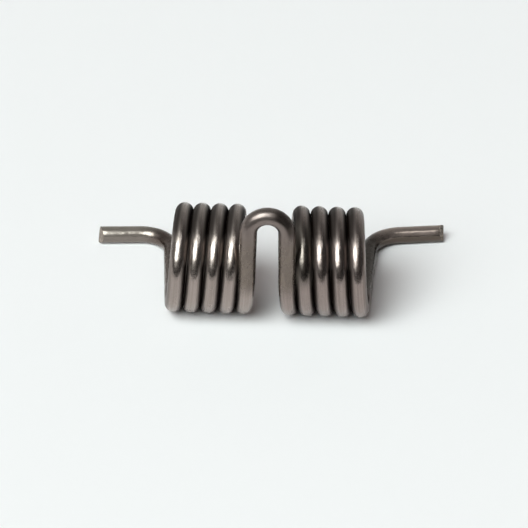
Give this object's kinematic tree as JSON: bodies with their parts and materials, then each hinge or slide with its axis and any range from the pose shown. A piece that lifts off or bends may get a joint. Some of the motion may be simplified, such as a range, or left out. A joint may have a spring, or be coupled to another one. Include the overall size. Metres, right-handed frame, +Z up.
{
  "type": "double torsion spring",
  "caption": "Double torsion spring bent from round wire: mirrored close-wound coils on one axis, joined by a tall middle loop, each ending in a leg that bends outward.",
  "frame": {"origin": "on the axis that the two coils share, midway between them", "axes": "+X along the coil axis, +Y back towards the end legs, +Z up the middle loop; the spring rests at Z = -8 mm"},
  "size_m": [0.052, 0.0299, 0.0204],
  "materials": {
    "spring_steel_wire": "bare drawn spring steel wire, satin, with fine streaks along the wire"
  },
  "bodies": {
    "root": {"spring_wire": "spring_steel_wire"}
  },
  "joints": []
}
